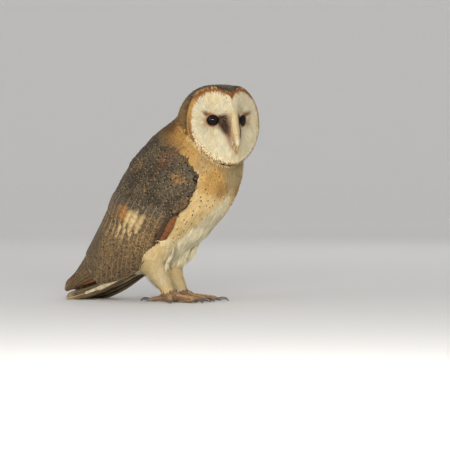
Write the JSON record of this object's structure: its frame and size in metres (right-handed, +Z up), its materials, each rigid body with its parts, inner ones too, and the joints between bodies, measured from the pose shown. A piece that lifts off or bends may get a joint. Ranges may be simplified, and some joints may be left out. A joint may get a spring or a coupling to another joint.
{
  "type": "barn owl",
  "caption": "Still life-size model of a standing barn owl with folded wings and its heart-shaped face turned to its right.",
  "frame": {"origin": "middle of the box's base, on the floor under the feet and the tail's end", "axes": "+Z up; the body faces -Y, the owl's right side is -X; the head is turned 31 degrees towards -X"},
  "size_m": [0.1158, 0.2324, 0.2339],
  "materials": {
    "plumage_white": "soft matt feathers",
    "plumage_cream": "soft matt feathers",
    "plumage_golden": "soft matt feathers",
    "plumage_grey": "mottled matt feathers",
    "plumage_brown": "barred matt feathers",
    "eye": "wet gloss",
    "bill": "satin horn",
    "claw": "satin horn",
    "foot_skin": "bare scaly skin"
  },
  "bodies": {
    "root": {"bill_lower": "bill", "bill_upper": "bill", "claw_hind_left": "claw", "claw_hind_right": "claw", "claw_inner_left": "claw", "claw_inner_right": "claw", "claw_middle_left": "claw", "claw_middle_right": "claw", "claw_outer_left": "claw", "claw_outer_right": "claw", "eye_left": "eye", "eye_right": "eye", "foot_left": "foot_skin", "foot_right": "foot_skin", "head": "plumage_white", "neck": "plumage_golden", "primaries_left": "plumage_brown", "primaries_right": "plumage_brown", "secondaries_left": "plumage_brown", "secondaries_right": "plumage_brown", "shank_left": "plumage_white", "shank_right": "plumage_white", "tail": "plumage_brown", "thigh_left": "plumage_white", "thigh_right": "plumage_white", "toe_hind_left": "foot_skin", "toe_hind_right": "foot_skin", "toe_inner_left": "foot_skin", "toe_inner_right": "foot_skin", "toe_middle_left": "foot_skin", "toe_middle_right": "foot_skin", "toe_outer_left": "foot_skin", "toe_outer_right": "foot_skin", "trunk": "plumage_cream", "wing_left": "plumage_grey", "wing_right": "plumage_grey"}
  },
  "joints": []
}
